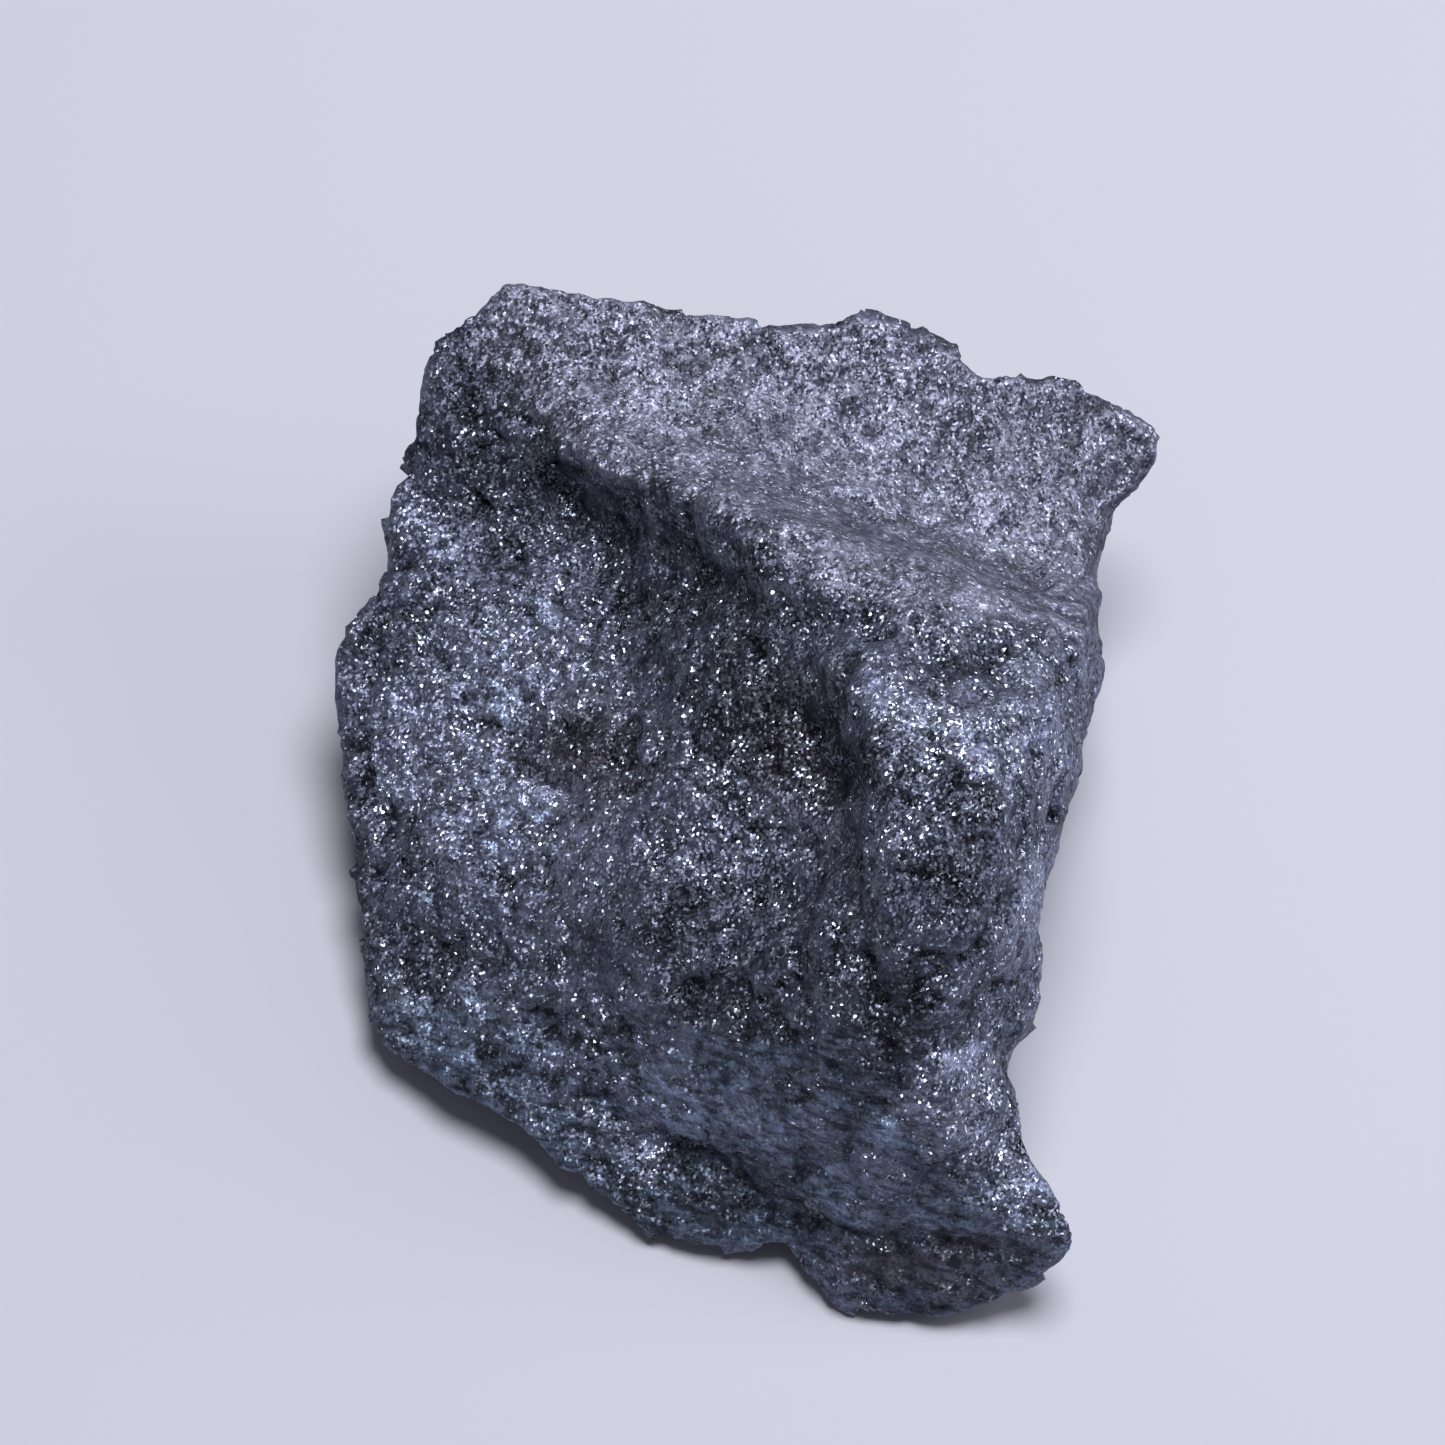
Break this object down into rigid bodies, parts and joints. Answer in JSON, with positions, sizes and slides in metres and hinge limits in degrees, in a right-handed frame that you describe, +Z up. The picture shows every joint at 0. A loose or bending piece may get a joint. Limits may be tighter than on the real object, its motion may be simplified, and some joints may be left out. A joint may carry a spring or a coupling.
{
  "type": "hematite specimen",
  "caption": "Rough broken lump of specular hematite with a sloping hackly face, a raised hump and crest, a level back shelf and a flat seat to rest on.",
  "frame": {"origin": "middle of the bounding box's bottom face, on the seat plane", "axes": "+Z up from the seat, -Y towards the low front tip and +Y towards the back shelf, +X towards the side with the hump and the horn"},
  "size_m": [0.0616, 0.072, 0.0367],
  "materials": {
    "specular_hematite": "rough broken steel-grey specular hematite with a fine metallic glitter"
  },
  "bodies": {
    "root": {"hematite_stone": "specular_hematite"}
  },
  "joints": []
}
